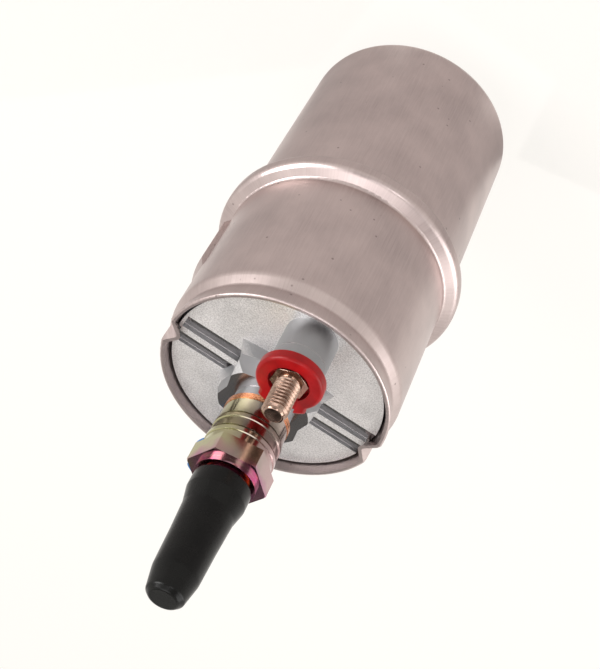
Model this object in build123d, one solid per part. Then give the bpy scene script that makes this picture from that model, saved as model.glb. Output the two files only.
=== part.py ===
from build123d import *
import os
from math import asin, cos, degrees, hypot, radians, sin, sqrt, tan

# Electric in-line fuel pump, in millimetres.
# It stands on the end face of its inlet boss: the origin is the centre of that face, +Z runs
# along the can towards the outlet, +X points at one end of the end cover's cross rib, and the
# positive terminal stands on the -Y side.

# Fits
FIT_GAP = 0.03          # radial gap of a pressed or screwed piece
RUNNING_GAP = 0.03      # radial gap of the shaft in its bushes
SLIDE_GAP = 0.1         # gap of a brush in its guide and of the poppet in its bore
FACE_GAP = 0.05         # gap between a turning face and the face beside it
FREE_GAP = 0.3          # gap between pieces that must never touch
OVERRUN = 1.0           # how far a cut or a joined form runs past the face that it meets

# Can
CAN_RADIUS = 30.0
CAN_WALL = 1.2
CAN_LENGTH = 115.0
CAN_CORNER = 2.0
BEAD_TO_LIP = 48.8
BEAD_HEIGHT = 3.6
BEAD_BASE = 7.0
BEAD_CREST = 3.8
BEAD_BEND = 0.9
SHOULDER_TO_LIP = 7.4
SHOULDER_BEND = 3.0
NECK_DRAW = 1.5
NECK_TO_LIP = 4.6
NECK_BEND = 1.0
LIP_DRAW = 0.5
LIP_ROUND = 0.5
NOTCH_DEPTH = 3.1
NOTCH_FLANK = 56.5
NOTCH_TURNS = (5.0, 178.7)
NOTCH_LENGTH = 5.0
NOTCH_ROUND = 1.2
NOTCH_SHOULDER = 4.0
NOTCH_WALL = 0.8
NOTCH_REACH = 6.0
PAD_HEIGHT = 1.25
PAD_TO_LIP = 21.2
PAD_LENGTH = 19.2
PAD_SLOPE = 2.2
PAD_START = -2.0
PAD_ANGLE = 36.0

# Inlet cover, its port, seal and screen
BOSS_LENGTH = 15.0
BOSS_RADIUS = 13.0
BOSS_CHAMFER = 0.8
INLET_COVER_THICKNESS = 11.8
INLET_PORT_RADIUS = 8.19
INLET_PORT_CHAMFER = 1.0
INLET_PORT_DEPTH = 13.4
SCREEN_THICKNESS = 1.4
SCREEN_HOLE_RADIUS = 0.9
SCREEN_INNER_CIRCLE = 2.9
SCREEN_OUTER_CIRCLE = 5.5
SCREEN_RADIUS = 7.2
SCREEN_LEDGE = 0.6
INLET_SEAL_SECTION = 1.8
SUCTION_CHAMBER_HEIGHT = 6.0
PORT_WIDTH = 6.0
PORT_LAND = 1.6
PORT_ANGLE = 110.0

# Roller cell stage
CAM_RING_WIDTH = 10.0
ROTOR_LAND = 7.0
ECCENTRICITY = 1.4
ROLLER_TIP_GAP = 0.1
ROLLER_RADIUS = 2.5
ROLLER_COUNT = 5
ROLLER_SEAT_DEPTH = 3.6
ROLLER_GAP = 0.05
STAGE_SCREW_RADIUS = 1.5
STAGE_SCREW_COUNT = 3
STAGE_SCREW_DEPTH = 8.0
SCREW_START = 0.0
SCREW_HEAD_RADIUS = 2.75
SCREW_HEAD_HEIGHT = 2.0
SCREW_SOCKET = 2.5
SCREW_SOCKET_DEPTH = 1.2
STAGE_EDGE = 4.2
DOWEL_RADIUS = 1.25
DOWEL_COUNT = 2
DOWEL_DEPTH = 4.0
DOWEL_COVER = 1.0
DOWEL_START = 90.0

# Relief valve
RELIEF_HOLE_RADIUS = 1.6
RELIEF_BALL_RADIUS = 2.4
RELIEF_BORE_RADIUS = 2.9
RELIEF_DEPTH = 6.0
RELIEF_DRAIN = 2.0
RELIEF_SPRING_RADIUS = 1.8
RELIEF_WIRE = 0.5
RELIEF_COILS = 6
RELIEF_ANGLE = 180.0

# Port plate
PORT_PLATE_THICKNESS = 4.0
PLATE_BOSS_RADIUS = 8.0
PLATE_BOSS_HEIGHT = 5.0

# Shaft and bushes
SHAFT_RADIUS = 3.0
SHAFT_FLAT = 4.4
BUSH_RADIUS = 5.5
BUSH_LENGTH = 7.5
THRUST_WASHER_RADIUS = 6.0
THRUST_WASHER_THICKNESS = 0.8

# Armature and commutator
CORE_END_SPACE = 12.0
CORE_TOP_SPACE = 5.0
CORE_SLOTS = 8
SLOT_RADIUS = 3.0
SLOT_BACK = 4.9
SLOT_MOUTH = 2.0
END_TURN_HEIGHT = 4.6
END_TURN_INNER = 7.0
END_TURN_BACK = 1.9
COMMUTATOR_RADIUS = 9.0
COMMUTATOR_LENGTH = 12.0
COMMUTATOR_WALL = 2.0
COMMUTATOR_COLLAR_RADIUS = 5.0
COMMUTATOR_ROOM = 0.9
COMMUTATOR_BARS = 8
BAR_GAP = 0.7
RISER_HEIGHT = 2.0
RISER_REACH = 1.6
RISER_ROOM = 1.0

# Magnets
AIR_GAP = 0.7
MAGNET_THICKNESS = 7.9
MAGNET_ANGLE = 126.0
MAGNET_TOP_SPACE = 2.0
MAGNET_BOTTOM_SPACE = 9.0
FLUX_RING_THICKNESS = 2.6
CLIP_THICKNESS = 1.0
CLIP_LENGTH = 20.0

# Brush gear
BRUSH_HOLDER_HEIGHT = 22.0
BRUSH_HOLDER_WALL = 2.2
BRUSH_WIDTH = 6.0
BRUSH_HEIGHT = 7.0
BRUSH_LENGTH = 8.0
BRUSH_GUIDE_WALL = 1.2
BRUSH_SPRING_RADIUS = 2.2
BRUSH_SPRING_WIRE = 0.4
BRUSH_SPRING_COILS = 5
BRIDGE_THICKNESS = 2.0
BRIDGE_DROP = 8.0
WINDOW_ANGLE = 100.0
WINDOW_RIM = 2.0
CONTACT_THICKNESS = 0.8
CONTACT_WIDTH = 5.0
CONTACT_EYE_RADIUS = 4.5

# End cover
PLATE_RECESS = 2.3
PLATE_THICKNESS = 4.0
PLATE_GAP = 0.2
COVER_DEPTH = 17.7
COVER_SKIRT_WALL = 4.6
SHOULDER_GAP = 0.7
COVER_SEAL_SECTION = 2.2
COVER_SEAL_DEPTH = 2.2
COVER_SEAL_FROM_EDGE = 3.2
RIB_OFFSET = 1.1
RIB_WIDTH = 1.85
RIB_INNER_RISE = 0.8
RIB_OUTER_RISE = 0.3
RIB_END_GAP = 0.9
CHANNEL_DEPTH = 1.05
CHANNEL_WIDTH = 3.7
COVER_BOSS_RADIUS = 8.5
COVER_BOSS_DROP = 4.0
FLOW_WINDOW_WIDTH = 5.0
FLOW_WINDOW_HEIGHT = 5.0
FLOW_WINDOW_DROP = 1.0
HUB_FLATS = 19.7
HUB_HEIGHT = 8.8
HUB_NECK_RADIUS = 7.3
HUB_NECK_HEIGHT = 3.3
SPUR_RADIUS = 12.8
SPUR_HEIGHT = 5.4
SPUR_FOOT_RADIUS = 14.9
SPUR_FOOT_HEIGHT = 3.3

# Terminals
TOWER_EDGE = 10.2
TOWER_RADIUS = 6.45
TOWER_HEIGHT = 12.85
TOWER_DROP = 6.5
TOWER_BORE = 4.9
INSULATOR_RADIUS = 8.0
INSULATOR_HEIGHT = 2.6
INSULATOR_FLOOR = 0.9
INSULATOR_SLEEVE = 12.0
JAW_REACH = 9.3
JAW_HALF_WIDTH = 5.8
LEAD_SLOT = 6.4
POSITIVE_SLOT_TURN = 12.0
NEGATIVE_SLOT_TURN = -8.0
STUD_RADIUS = 3.0
STUD_LENGTH = 10.0
STUD_CHAMFER = 0.95
STUD_FLATS = 8.0
STUD_COLLAR = 1.4
STUD_SHANK_RADIUS = 2.5
INNER_FLANGE_RADIUS = 5.7
INNER_FLANGE_THICKNESS = 1.5
NUT_FLATS = 8.0
NUT_HEIGHT = 3.2

# Check valve
WASHER_RADIUS = 8.15
WASHER_THICKNESS = 1.5
VALVE_STUB_RADIUS = 5.0
VALVE_STUB_LENGTH = 12.0
VALVE_EDGE = 0.6
VALVE_BODY_RADIUS = 8.0
VALVE_BODY_LENGTH = 12.6
VALVE_BODY_TOP_RADIUS = 8.5
VALVE_RINGS = (4.9, 9.2)
VALVE_RING_WIDTH = 1.2
VALVE_RING_RISE = 0.25
VALVE_RING_EDGE = 0.15
VALVE_GROOVE = 0.45
VALVE_FLATS = 17.0
VALVE_HEX_HEIGHT = 5.2
VALVE_HEX_TURN = 10.0
VALVE_HEX_CROWN = 0.2
VALVE_HEX_BEVEL = 0.3
VALVE_COLLAR_RADIUS = 7.4
VALVE_COLLAR_HEIGHT = 1.2
OUTLET_THREAD_RADIUS = 6.0
OUTLET_THREAD_LENGTH = 6.4
OUTLET_THREAD_RELIEF = 0.9
OUTLET_RELIEF_LENGTH = 0.6
OUTLET_NOSE_RADIUS = 4.9
OUTLET_NOSE_LENGTH = 4.6
VALVE_BORE_RADIUS = 3.6
OUTLET_BORE_RADIUS = 2.4
SEAT_LENGTH = 4.0
SEAT_BORE_RADIUS = 2.0
SEAT_LAND = 0.8
POPPET_LENGTH = 6.0
POPPET_FLUTES = 4
POPPET_FLUTE_RADIUS = 0.9
POPPET_SEAL_THICKNESS = 0.9
VALVE_SPRING_ROOM = 7.0
VALVE_SPRING_WIRE = 0.4
VALVE_SPRING_COILS = 5

# Protective cap
CAP_LENGTH = 31.8
CAP_MOUTH_RADIUS = 7.0
CAP_WAIST_RADIUS = 6.1
CAP_BARREL_RADIUS = 5.7
CAP_TIP_RADIUS = 3.4
CAP_MOUTH_LENGTH = 4.0
CAP_STEP_LENGTH = 4.2
CAP_WALL = 0.95
CAP_TIP_WALL = 3.0
CAP_BENDS = (2.0, 3.0, 20.0, 6.0, 0.8, 0.8)
CAP_SHOULDER_RADIUS = 5.4
CAP_TIP_BEVEL = 1.0
CAP_FIT_GAP = 0.05
CAP_MOUTH_GAP = 1.1

# Radii that follow from the sizes above
CAN_BORE = CAN_RADIUS - CAN_WALL
INNER_RADIUS = CAN_BORE - FIT_GAP
NECK_RADIUS = CAN_RADIUS - NECK_DRAW
LIP_RADIUS = CAN_RADIUS - LIP_DRAW
PLATE_RADIUS = NECK_RADIUS - CAN_WALL - PLATE_GAP
COVER_SKIRT_RADIUS = INNER_RADIUS - COVER_SKIRT_WALL
TOWER_OFFSET = CAN_RADIUS - TOWER_EDGE
STAGE_CIRCLE = INNER_RADIUS - STAGE_EDGE
ROTOR_RADIUS = STAGE_CIRCLE - ROTOR_LAND
ROLLER_SEAT_RADIUS = ROTOR_RADIUS - ROLLER_SEAT_DEPTH
PORT_OUTER_RADIUS = ROTOR_RADIUS - PORT_LAND
PORT_INNER_RADIUS = PORT_OUTER_RADIUS - PORT_WIDTH
MAGNET_RADIUS = INNER_RADIUS - FLUX_RING_THICKNESS - FIT_GAP
CORE_RADIUS = MAGNET_RADIUS - MAGNET_THICKNESS - AIR_GAP
SLOT_CIRCLE = CORE_RADIUS - SLOT_BACK
END_TURN_OUTER = CORE_RADIUS - END_TURN_BACK
COMMUTATOR_HUB_RADIUS = COMMUTATOR_RADIUS - COMMUTATOR_WALL
HUB_CORNER_RADIUS = HUB_FLATS / 2 / cos(radians(30))
STUD_CORNER_RADIUS = STUD_FLATS / 2 / cos(radians(30))
VALVE_CORNER_RADIUS = VALVE_FLATS / 2 / cos(radians(30))
BRUSH_FACE = COMMUTATOR_RADIUS + RUNNING_GAP
BRUSH_BACK = BRUSH_FACE + BRUSH_LENGTH
STRIP_Y = TOWER_OFFSET + NUT_FLATS / 2 + FREE_GAP

# Heights that follow from the sizes above
FLOOR_Z = BOSS_LENGTH
LIP_Z = FLOOR_Z + CAN_LENGTH
INLET_COVER_Z = FLOOR_Z + CAN_WALL
CAM_RING_Z = INLET_COVER_Z + INLET_COVER_THICKNESS
PORT_PLATE_Z = CAM_RING_Z + CAM_RING_WIDTH
FLUX_RING_Z = PORT_PLATE_Z + PORT_PLATE_THICKNESS
PLATE_Z = LIP_Z - PLATE_RECESS
SKIRT_Z = PLATE_Z - COVER_DEPTH
BRUSH_HOLDER_Z = SKIRT_Z - BRUSH_HOLDER_HEIGHT
CORE_Z = FLUX_RING_Z + CORE_END_SPACE
CORE_TOP_Z = BRUSH_HOLDER_Z - CORE_TOP_SPACE
COVER_BOSS_Z = SKIRT_Z - COVER_BOSS_DROP
COMMUTATOR_TOP_Z = COVER_BOSS_Z - 3 * THRUST_WASHER_THICKNESS
COMMUTATOR_Z = COMMUTATOR_TOP_Z - COMMUTATOR_LENGTH
BRUSH_Z = COMMUTATOR_TOP_Z - FREE_GAP - BRUSH_HEIGHT / 2 - RISER_HEIGHT
TOWER_Z = PLATE_Z + TOWER_HEIGHT
TOWER_FOOT_Z = PLATE_Z - PLATE_THICKNESS - TOWER_DROP
COLLAR_Z = TOWER_Z + INSULATOR_FLOOR
THREAD_Z = COLLAR_Z + STUD_COLLAR
SLEEVE_Z = TOWER_Z - INSULATOR_SLEEVE
STRIP_Z = TOWER_FOOT_Z - INNER_FLANGE_THICKNESS - CONTACT_THICKNESS
NUT_Z = STRIP_Z - NUT_HEIGHT
HUB_TOP_Z = PLATE_Z + HUB_HEIGHT
NECK_TOP_Z = HUB_TOP_Z + HUB_NECK_HEIGHT
VALVE_Z = NECK_TOP_Z + WASHER_THICKNESS
VALVE_HEX_Z = VALVE_Z + VALVE_BODY_LENGTH
VALVE_COLLAR_Z = VALVE_HEX_Z + VALVE_HEX_HEIGHT
OUTLET_Z = VALVE_COLLAR_Z + VALVE_COLLAR_HEIGHT
NOSE_Z = OUTLET_Z + OUTLET_THREAD_LENGTH
NOSE_TOP_Z = NOSE_Z + OUTLET_NOSE_LENGTH
SEAT_Z = VALVE_Z
POPPET_Z = SEAT_Z + SEAT_LENGTH + POPPET_SEAL_THICKNESS
VALVE_SPRING_Z = POPPET_Z + POPPET_LENGTH
CAP_Z = OUTLET_Z + CAP_MOUTH_GAP
CAP_TOP_Z = CAP_Z + CAP_LENGTH
SCREEN_TOP_Z = INLET_PORT_DEPTH + SCREEN_THICKNESS
CHAMBER_TOP_Z = SCREEN_TOP_Z + SUCTION_CHAMBER_HEIGHT
RELIEF_FLOOR_Z = CAM_RING_Z - RELIEF_DEPTH
RELIEF_BALL_Z = PORT_PLATE_Z - FREE_GAP - sqrt(RELIEF_BALL_RADIUS ** 2 - RELIEF_HOLE_RADIUS ** 2)
SCREW_HEAD_Z = FLUX_RING_Z - SCREW_HEAD_HEIGHT
SHAFT_Z = CAM_RING_Z + FREE_GAP
SHAFT_TOP_Z = COVER_BOSS_Z + BUSH_LENGTH + FREE_GAP
BRIDGE_Z = SKIRT_Z - BRIDGE_DROP
WINDOW_TOP_Z = PLATE_Z - PLATE_THICKNESS - FLOW_WINDOW_DROP
STUB_Z = VALVE_Z - VALVE_STUB_LENGTH
VALVE_SPRING_TOP_Z = VALVE_SPRING_Z + VALVE_SPRING_ROOM
THREAD_END_Z = NOSE_Z - (OUTLET_THREAD_RADIUS - OUTLET_NOSE_RADIUS)
STANDING = (Align.CENTER, Align.CENTER, Align.MIN)


def turned(points, radii=0):
    """Turn a closed outline of (radius, height) points about the pump's axis."""
    outline = FilletPolyline(*points, radius=radii, close=True)
    return revolve(Plane.XZ * make_face(outline), Axis.Z)


def rod(radius, bottom, top):
    """A cylinder on the pump's axis."""
    return Pos(0, 0, bottom) * Cylinder(radius, top - bottom, align=STANDING)


def ring(outer, inner, bottom, top):
    """A ring on the pump's axis."""
    return rod(outer, bottom, top) - rod(inner, bottom, top)


def hexagon(flats, bottom, top, turn=0.0):
    """A hexagonal prism with a flat facing +X, turned by an angle."""
    outline = RegularPolygon(flats / 2, 6, major_radius=False, rotation=30 + turn)
    return extrude(Pos(0, 0, bottom) * outline, top - bottom)


def block(x_from, x_to, y_from, y_to, bottom, top):
    """A box between two corners."""
    size = (x_to - x_from, y_to - y_from, top - bottom)
    return Pos(x_from, y_from, bottom) * Box(*size, align=(Align.MIN, Align.MIN, Align.MIN))


def sector(outer, inner, start, sweep, bottom, top):
    """A piece of a ring, from one angle on by a sweep."""
    outline = Polyline((inner, bottom), (outer, bottom), (outer, top), (inner, top), close=True)
    piece = revolve(Plane.XZ * make_face(outline), Axis.Z, revolution_arc=sweep)
    return Rot(0, 0, start) * piece


def around(piece, count, radius=0.0, start=0.0):
    """Copies of a piece spread evenly round the axis at a radius."""
    step = 360.0 / count
    return [Rot(0, 0, start + step * k) * Pos(radius, 0, 0) * piece for k in range(count)]


def coil(radius, wire, coils, bottom, top):
    """A round-wire compression spring on the axis, with a little room at both ends."""
    height = top - bottom - 2 * wire
    path = Helix(height / coils, height, radius)
    wire_end = Plane(path @ 0, z_dir=path % 0) * Circle(wire / 2)
    return Pos(0, 0, bottom + wire) * sweep(wire_end, path=path)


def as_node(piece):
    """A piece, or a list of like pieces, as what one file holds."""
    shapes = piece if isinstance(piece, list) else [piece]
    solids = [solid for shape in shapes for solid in shape.solids()]
    return solids[0] if len(solids) == 1 else Compound(children=solids)


# Can
def notch_side(tip, rim, angle):
    """Where one flank of the notch meets the rim, and a point further on along the rim's tangent."""
    flank = Vector(cos(radians(angle)), sin(radians(angle)))
    reach = tip.dot(flank)
    meets = tip + flank * (sqrt(reach ** 2 - tip.length ** 2 + rim ** 2) - reach)
    along = Vector(-meets.Y, meets.X).normalized()
    return meets, meets + along * (NOTCH_REACH if angle > 0 else -NOTCH_REACH)


def notch(offset, turn):
    """A dent staked into the lip: a V with rounded shoulders that runs out downwards."""
    tip = Vector(LIP_RADIUS - NOTCH_DEPTH - offset / sin(radians(NOTCH_FLANK)), 0)
    far = LIP_RADIUS + NOTCH_REACH
    left, left_end = notch_side(tip, LIP_RADIUS - offset, NOTCH_FLANK)
    right, right_end = notch_side(tip, LIP_RADIUS - offset, -NOTCH_FLANK)
    shoulder = max(NOTCH_SHOULDER - offset, 0)
    vee = FilletPolyline(
        tip, left, left_end, (far, left_end.Y), (far, right_end.Y), right_end, right,
        radius=[NOTCH_ROUND + offset, shoulder, 0, 0, 0, 0, shoulder], close=True,
    )
    lean = degrees(asin(NOTCH_DEPTH / hypot(NOTCH_DEPTH, NOTCH_LENGTH)))
    prism = extrude(Pos(-LIP_RADIUS, 0, 0) * make_face(vee), 2 * NOTCH_LENGTH, both=True)
    return Rot(0, 0, turn) * Pos(LIP_RADIUS, 0, LIP_Z) * Rot(0, -lean, 0) * prism


def notches(offset):
    """Both dents, one near +X and one near -X."""
    first, second = [notch(offset, turn) for turn in NOTCH_TURNS]
    return first + second


def both_ends(piece):
    """A piece at the +X end of the rib, and its twin at the -X end."""
    return piece + Rot(0, 0, 180) * piece


def can_form(offset, lip_round):
    """The can's outside, or its inside when drawn in by the wall."""
    side = CAN_RADIUS - offset
    bead_z = LIP_Z - BEAD_TO_LIP
    half_base = (BEAD_BASE - offset) / 2
    half_crest = (BEAD_CREST - offset) / 2
    corner = max(CAN_CORNER - offset, FREE_GAP)
    shoulder_bend = SHOULDER_BEND - offset
    return turned([
        (0, FLOOR_Z + offset),
        (side, FLOOR_Z + offset),
        (side, bead_z - half_base),
        (side + BEAD_HEIGHT, bead_z - half_crest),
        (side + BEAD_HEIGHT, bead_z + half_crest),
        (side, bead_z + half_base),
        (side, LIP_Z - SHOULDER_TO_LIP),
        (NECK_RADIUS - offset, LIP_Z - NECK_TO_LIP),
        (LIP_RADIUS - offset, LIP_Z),
        (0, LIP_Z),
    ], [0, corner, BEAD_BEND, half_crest, half_crest, BEAD_BEND, shoulder_bend, NECK_BEND, lip_round, 0])


def make_can():
    outside = can_form(0.0, LIP_ROUND) - notches(0.0)
    inside = can_form(CAN_WALL, 0.0) - notches(NOTCH_WALL)
    pad_top = LIP_Z - PAD_TO_LIP
    pad_bottom = pad_top - PAD_LENGTH
    pad = FilletPolyline(
        (CAN_RADIUS - CAN_WALL / 2, pad_bottom),
        (CAN_RADIUS, pad_bottom),
        (CAN_RADIUS + PAD_HEIGHT, pad_bottom + PAD_SLOPE),
        (CAN_RADIUS + PAD_HEIGHT, pad_top - PAD_SLOPE),
        (CAN_RADIUS, pad_top),
        (CAN_RADIUS - CAN_WALL / 2, pad_top),
        radius=[0, 0, PAD_SLOPE / 2, PAD_SLOPE / 2, 0, 0], close=True,
    )
    pad = Rot(0, 0, PAD_START) * revolve(Plane.XZ * make_face(pad), Axis.Z, revolution_arc=PAD_ANGLE)
    floor_hole = rod(BOSS_RADIUS + FIT_GAP, FLOOR_Z, INLET_COVER_Z)
    return outside - inside - floor_hole + pad


# Pump stage
def on_stage(piece, count, start):
    """Copies of a piece on the stage's bolt circle."""
    return around(piece, count, STAGE_CIRCLE, start)


def drilled(shape, holes):
    """A shape with a list of holes cut from it."""
    for hole in holes:
        shape -= hole
    return shape


def kidney(direction, bottom, top, inner=PORT_INNER_RADIUS):
    """The suction or pressure port: a sector centred on an angle."""
    return sector(PORT_OUTER_RADIUS, inner, direction - PORT_ANGLE / 2, PORT_ANGLE, bottom, top)


def at_relief(piece):
    """A piece moved onto the relief valve's axis."""
    return Rot(0, 0, RELIEF_ANGLE) * Pos(STAGE_CIRCLE, 0, 0) * piece


def make_inlet_cover():
    cover = turned([
        (0, 0),
        (BOSS_RADIUS, 0),
        (BOSS_RADIUS, INLET_COVER_Z),
        (INNER_RADIUS - CAN_CORNER, INLET_COVER_Z),
        (INNER_RADIUS, INLET_COVER_Z + CAN_CORNER),
        (INNER_RADIUS, CAM_RING_Z),
        (0, CAM_RING_Z),
    ])
    cover = chamfer(cover.edges().filter_by(GeomType.CIRCLE).sort_by(Axis.Z)[0], BOSS_CHAMFER)
    port = turned([
        (0, 0),
        (INLET_PORT_RADIUS + INLET_PORT_CHAMFER, 0),
        (INLET_PORT_RADIUS, INLET_PORT_CHAMFER),
        (INLET_PORT_RADIUS, INLET_PORT_DEPTH),
        (SCREEN_RADIUS + FIT_GAP, INLET_PORT_DEPTH),
        (SCREEN_RADIUS + FIT_GAP, SCREEN_TOP_Z),
        (0, SCREEN_TOP_Z),
    ])
    passage = rod(SCREEN_RADIUS - SCREEN_LEDGE, SCREEN_TOP_Z, CHAMBER_TOP_Z)
    chamber = kidney(0, CHAMBER_TOP_Z - SUCTION_CHAMBER_HEIGHT / 2, CHAMBER_TOP_Z, inner=0)
    seal_side = INLET_SEAL_SECTION + FIT_GAP
    seal_groove = ring(BOSS_RADIUS + seal_side, BOSS_RADIUS, INLET_COVER_Z, INLET_COVER_Z + seal_side)
    pocket = at_relief(rod(RELIEF_BORE_RADIUS, RELIEF_FLOOR_Z, CAM_RING_Z))
    drain = Rot(0, 0, RELIEF_ANGLE) * block(
        0, STAGE_CIRCLE, -RELIEF_DRAIN / 2, RELIEF_DRAIN / 2, RELIEF_FLOOR_Z - RELIEF_DRAIN, RELIEF_FLOOR_Z)
    cover = cover - port - passage - chamber - kidney(0, CHAMBER_TOP_Z, CAM_RING_Z)
    cover = cover - seal_groove - pocket - drain
    screw_hole = rod(STAGE_SCREW_RADIUS + FIT_GAP, CAM_RING_Z - STAGE_SCREW_DEPTH, CAM_RING_Z)
    dowel_hole = rod(DOWEL_RADIUS + FIT_GAP, CAM_RING_Z - DOWEL_DEPTH, CAM_RING_Z)
    cover = drilled(cover, on_stage(screw_hole, STAGE_SCREW_COUNT, SCREW_START))
    return drilled(cover, on_stage(dowel_hole, DOWEL_COUNT, DOWEL_START))


def make_inlet_seal():
    centre = (BOSS_RADIUS + FIT_GAP + INLET_SEAL_SECTION / 2, INLET_COVER_Z + INLET_SEAL_SECTION / 2)
    return revolve(Plane.XZ * Pos(*centre) * Circle(INLET_SEAL_SECTION / 2), Axis.Z)


def make_inlet_screen():
    disc = rod(SCREEN_RADIUS, INLET_PORT_DEPTH, SCREEN_TOP_Z)
    hole = rod(SCREEN_HOLE_RADIUS, INLET_PORT_DEPTH, SCREEN_TOP_Z)
    holes = [hole] + around(hole, 6, SCREEN_INNER_CIRCLE)
    return drilled(disc, holes + around(hole, 12, SCREEN_OUTER_CIRCLE, 15))


def make_cam_ring():
    bore_radius = ROTOR_RADIUS + ECCENTRICITY + ROLLER_TIP_GAP
    bore = Pos(0, ECCENTRICITY, 0) * rod(bore_radius, CAM_RING_Z, PORT_PLATE_Z)
    cam = rod(INNER_RADIUS, CAM_RING_Z, PORT_PLATE_Z) - bore
    cam -= at_relief(rod(RELIEF_BORE_RADIUS, CAM_RING_Z, PORT_PLATE_Z))
    screw_hole = rod(STAGE_SCREW_RADIUS + FIT_GAP, CAM_RING_Z, PORT_PLATE_Z)
    dowel_hole = rod(DOWEL_RADIUS + FIT_GAP, CAM_RING_Z, PORT_PLATE_Z)
    cam = drilled(cam, on_stage(screw_hole, STAGE_SCREW_COUNT, SCREW_START))
    return drilled(cam, on_stage(dowel_hole, DOWEL_COUNT, DOWEL_START))


def make_rotor():
    bottom = CAM_RING_Z + FACE_GAP
    top = PORT_PLATE_Z - FACE_GAP
    slot_half = ROLLER_RADIUS + ROLLER_GAP
    slot = rod(slot_half, bottom, top) + block(0, ROTOR_RADIUS, -slot_half, slot_half, bottom, top)
    drive = shaft_flats(SHAFT_RADIUS + FIT_GAP, SHAFT_FLAT + 2 * FIT_GAP, bottom, top)
    return drilled(rod(ROTOR_RADIUS, bottom, top) - drive, around(slot, ROLLER_COUNT, ROLLER_SEAT_RADIUS))


def make_rollers():
    roller = rod(ROLLER_RADIUS, CAM_RING_Z + 2 * FACE_GAP, PORT_PLATE_Z - 2 * FACE_GAP)
    roller = chamfer(roller.edges().filter_by(GeomType.CIRCLE), FREE_GAP)
    return around(roller, ROLLER_COUNT, ROLLER_SEAT_RADIUS)


def make_port_plate():
    top = FLUX_RING_Z + PLATE_BOSS_HEIGHT
    plate = rod(INNER_RADIUS, PORT_PLATE_Z, FLUX_RING_Z) + rod(PLATE_BOSS_RADIUS, FLUX_RING_Z, top)
    plate -= rod(BUSH_RADIUS + FIT_GAP, top - BUSH_LENGTH, top)
    plate -= rod(SHAFT_RADIUS + FREE_GAP, PORT_PLATE_Z, top)
    plate -= kidney(180, PORT_PLATE_Z, FLUX_RING_Z)
    plate -= at_relief(rod(RELIEF_HOLE_RADIUS, PORT_PLATE_Z, FLUX_RING_Z))
    screw_hole = rod(STAGE_SCREW_RADIUS + FIT_GAP, PORT_PLATE_Z, FLUX_RING_Z)
    screw_hole += rod(SCREW_HEAD_RADIUS + FIT_GAP, SCREW_HEAD_Z, FLUX_RING_Z)
    dowel_hole = rod(DOWEL_RADIUS + FIT_GAP, PORT_PLATE_Z, FLUX_RING_Z - DOWEL_COVER)
    plate = drilled(plate, on_stage(screw_hole, STAGE_SCREW_COUNT, SCREW_START))
    return drilled(plate, on_stage(dowel_hole, DOWEL_COUNT, DOWEL_START))


def make_stage_screws():
    screw = rod(STAGE_SCREW_RADIUS, CAM_RING_Z - STAGE_SCREW_DEPTH + FREE_GAP, SCREW_HEAD_Z)
    screw += rod(SCREW_HEAD_RADIUS, SCREW_HEAD_Z, FLUX_RING_Z)
    screw -= hexagon(SCREW_SOCKET, FLUX_RING_Z - SCREW_SOCKET_DEPTH, FLUX_RING_Z)
    return on_stage(screw, STAGE_SCREW_COUNT, SCREW_START)


def make_stage_dowels():
    dowel = rod(DOWEL_RADIUS, CAM_RING_Z - DOWEL_DEPTH + FREE_GAP, FLUX_RING_Z - DOWEL_COVER - FREE_GAP)
    return on_stage(dowel, DOWEL_COUNT, DOWEL_START)


# Relief valve
def make_relief_ball():
    return at_relief(Pos(0, 0, RELIEF_BALL_Z) * Sphere(RELIEF_BALL_RADIUS))


def make_relief_spring():
    top = RELIEF_BALL_Z - sqrt(RELIEF_BALL_RADIUS ** 2 - RELIEF_SPRING_RADIUS ** 2) - RELIEF_WIRE / 2
    return at_relief(coil(RELIEF_SPRING_RADIUS, RELIEF_WIRE, RELIEF_COILS, RELIEF_FLOOR_Z, top))


# Shaft and bushes
def shaft_flats(radius, flats, bottom, top):
    """A round section milled to two flats."""
    return rod(radius, bottom, top) & block(-flats / 2, flats / 2, -radius, radius, bottom, top)


def make_shaft():
    flats_top = PORT_PLATE_Z - FACE_GAP
    return (shaft_flats(SHAFT_RADIUS, SHAFT_FLAT, SHAFT_Z, flats_top)
            + rod(SHAFT_RADIUS, flats_top, SHAFT_TOP_Z))


def make_bush(bottom):
    return ring(BUSH_RADIUS, SHAFT_RADIUS + RUNNING_GAP, bottom, bottom + BUSH_LENGTH)


def make_lower_bush():
    return make_bush(FLUX_RING_Z + PLATE_BOSS_HEIGHT - BUSH_LENGTH)


def make_upper_bush():
    return make_bush(COVER_BOSS_Z)


def make_thrust_washers():
    washer = ring(THRUST_WASHER_RADIUS, SHAFT_RADIUS + FIT_GAP, 0, THRUST_WASHER_THICKNESS)
    lower = FLUX_RING_Z + PLATE_BOSS_HEIGHT + FACE_GAP
    upper = COVER_BOSS_Z - FACE_GAP - THRUST_WASHER_THICKNESS
    return [Pos(0, 0, lower) * washer, Pos(0, 0, upper) * washer]


# Armature
def core_slot(radius, bottom, top):
    """One winding slot of the core, with its narrow mouth."""
    mouth = block(SLOT_CIRCLE, CORE_RADIUS + OVERRUN, -SLOT_MOUTH / 2, SLOT_MOUTH / 2, bottom, top)
    return Pos(SLOT_CIRCLE, 0, 0) * rod(radius, bottom, top) + mouth


def make_armature_core():
    core = ring(CORE_RADIUS, SHAFT_RADIUS + FIT_GAP, CORE_Z, CORE_TOP_Z)
    return drilled(core, around(core_slot(SLOT_RADIUS, CORE_Z, CORE_TOP_Z), CORE_SLOTS))


def end_turns(bottom, top, bends):
    """The ring of wire that crosses one end of the core."""
    return turned([
        (END_TURN_INNER, bottom),
        (END_TURN_OUTER, bottom),
        (END_TURN_OUTER, top),
        (END_TURN_INNER, top),
    ], bends)


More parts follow.
